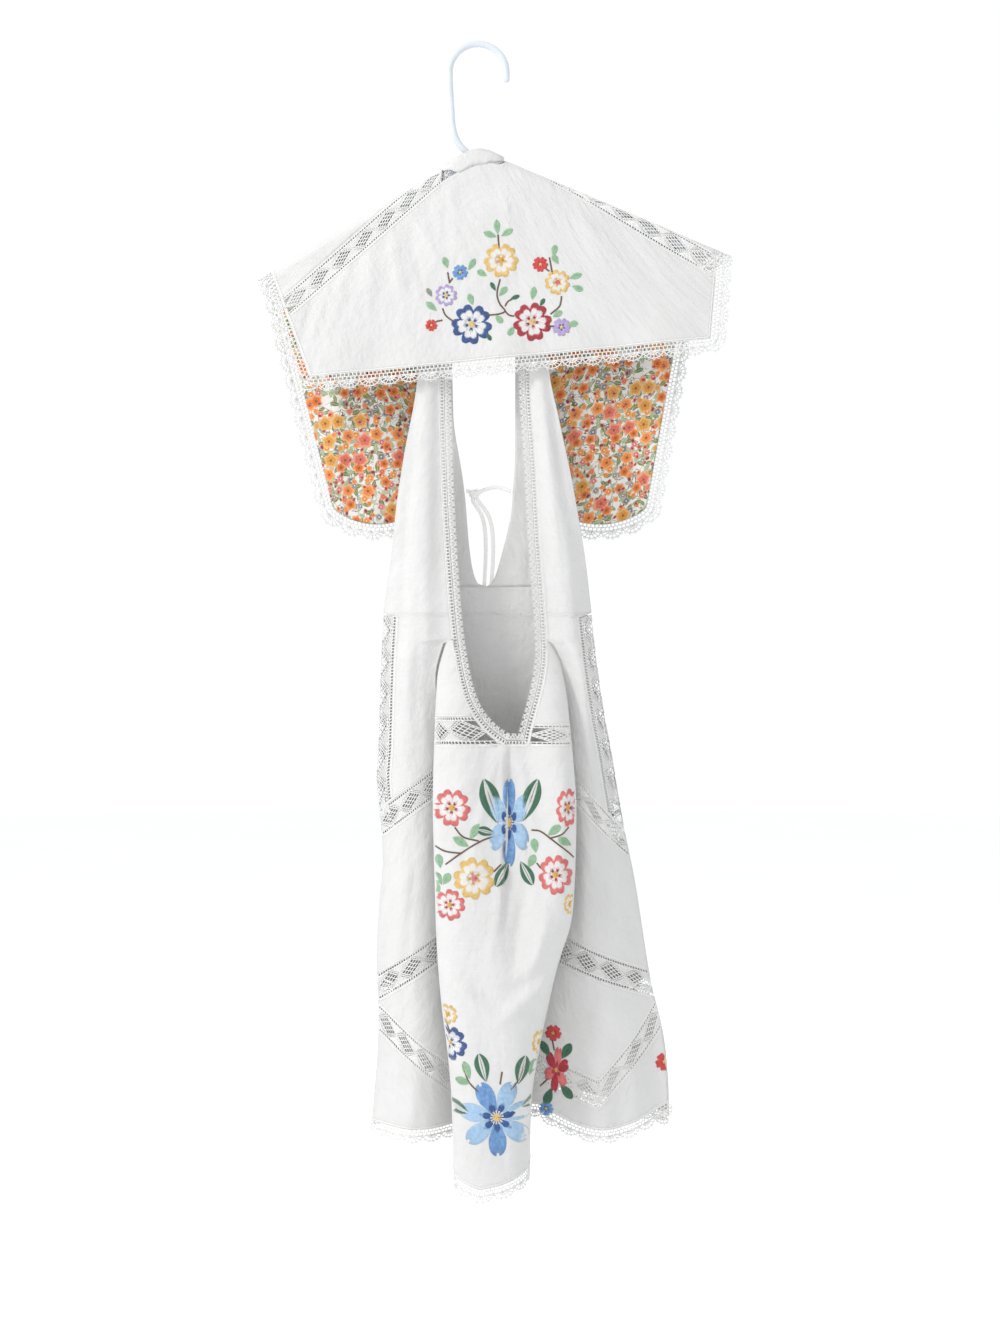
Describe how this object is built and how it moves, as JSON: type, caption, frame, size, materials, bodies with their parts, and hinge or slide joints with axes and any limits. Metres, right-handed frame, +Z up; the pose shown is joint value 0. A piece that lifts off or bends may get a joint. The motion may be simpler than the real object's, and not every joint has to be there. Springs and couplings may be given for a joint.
{
  "type": "caped dress on a hanger",
  "caption": "Sleeveless white cotton dress with lace insertions, embroidery and a caped collar with floral-lined back flaps, tied at the back and hung on a tubular plastic hanger.",
  "frame": {"origin": "the inside of the hook's crown, where a rail or peg bears", "axes": "+Z up along the hung dress, -Y is its front, +X is to the right seen from the front"},
  "size_m": [0.4765, 0.1387, 1.1442],
  "materials": {
    "white_cotton": "plain-woven cotton, matte",
    "white_lace": "cotton bobbin and crochet lace, matte",
    "floral_cotton": "printed cotton, small orange, crimson, sage and slate flowers on white",
    "white_plastic": "smooth moulded plastic"
  },
  "bodies": {
    "hanger_and_cape": {"hanger": "white_plastic", "neck_band": "white_cotton", "cape_front_yoke": "white_cotton", "cape_left_end_lace": "white_lace", "cape_left_insertion_lace": "white_lace", "cape_left_shoulder": "white_cotton", "cape_right_end_lace": "white_lace", "cape_right_insertion_lace": "white_lace", "cape_right_shoulder": "white_cotton"},
    "dress": {"back_hem_lace": "white_lace", "back_hem_panel": "white_cotton", "back_lower_band_lace": "white_lace", "back_middle_panel": "white_cotton", "back_panel": "white_cotton", "back_upper_band_lace": "white_lace", "front_hem_lace": "white_lace", "front_neckline_lace": "white_lace", "front_panel": "white_cotton", "left_bodice": "white_cotton", "left_bust_lace": "white_lace", "left_chevron_lace": "white_lace", "left_front_panel": "white_cotton", "left_gusset": "white_cotton", "left_hem_lace": "white_lace", "left_hem_panel": "white_cotton", "left_lower_band_lace": "white_lace", "left_middle_panel": "white_cotton", "left_side_lace": "white_lace", "left_strap_lace": "white_lace", "left_tie": "white_cotton", "left_tie_end": "white_cotton", "left_upper_band_lace": "white_lace", "right_bodice": "white_cotton", "right_bust_lace": "white_lace", "right_chevron_lace": "white_lace", "right_front_panel": "white_cotton", "right_gusset": "white_cotton", "right_hem_lace": "white_lace", "right_hem_panel": "white_cotton", "right_lower_band_lace": "white_lace", "right_middle_panel": "white_cotton", "right_side_lace": "white_lace", "right_strap_lace": "white_lace", "right_tie": "white_cotton", "right_tie_end": "white_cotton", "right_upper_band_lace": "white_lace", "tie_knot": "white_cotton"},
    "front_cape_flap": {"cape_front_flap": "white_cotton", "cape_front_edging": "white_lace"},
    "left_back_flap": {"left_back_flap": "white_cotton", "left_back_flap_edging": "white_lace", "left_back_flap_lining": "floral_cotton"},
    "right_back_flap": {"right_back_flap": "white_cotton", "right_back_flap_edging": "white_lace", "right_back_flap_lining": "floral_cotton"}
  },
  "joints": [
    {"name": "dress_sway", "type": "hinge", "parent": "hanger_and_cape", "child": "dress", "pos_m": [0, 0, -0.138], "axis": [1, 0, 0], "range_deg": [-1.2, 1.2]},
    {"name": "front_cape_lift", "type": "hinge", "parent": "hanger_and_cape", "child": "front_cape_flap", "pos_m": [0, -0.01887, -0.25904], "axis": [-0.9954, 0, -0.0954], "range_deg": [0, 60]},
    {"name": "left_back_flap_lift", "type": "hinge", "parent": "hanger_and_cape", "child": "left_back_flap", "pos_m": [0, 0.01887, -0.25904], "axis": [0.9954, 0, 0.0954], "range_deg": [0, 60]},
    {"name": "right_back_flap_lift", "type": "hinge", "parent": "hanger_and_cape", "child": "right_back_flap", "pos_m": [0, 0.01887, -0.25904], "axis": [0.9954, 0, 0.0954], "range_deg": [0, 60]}
  ]
}
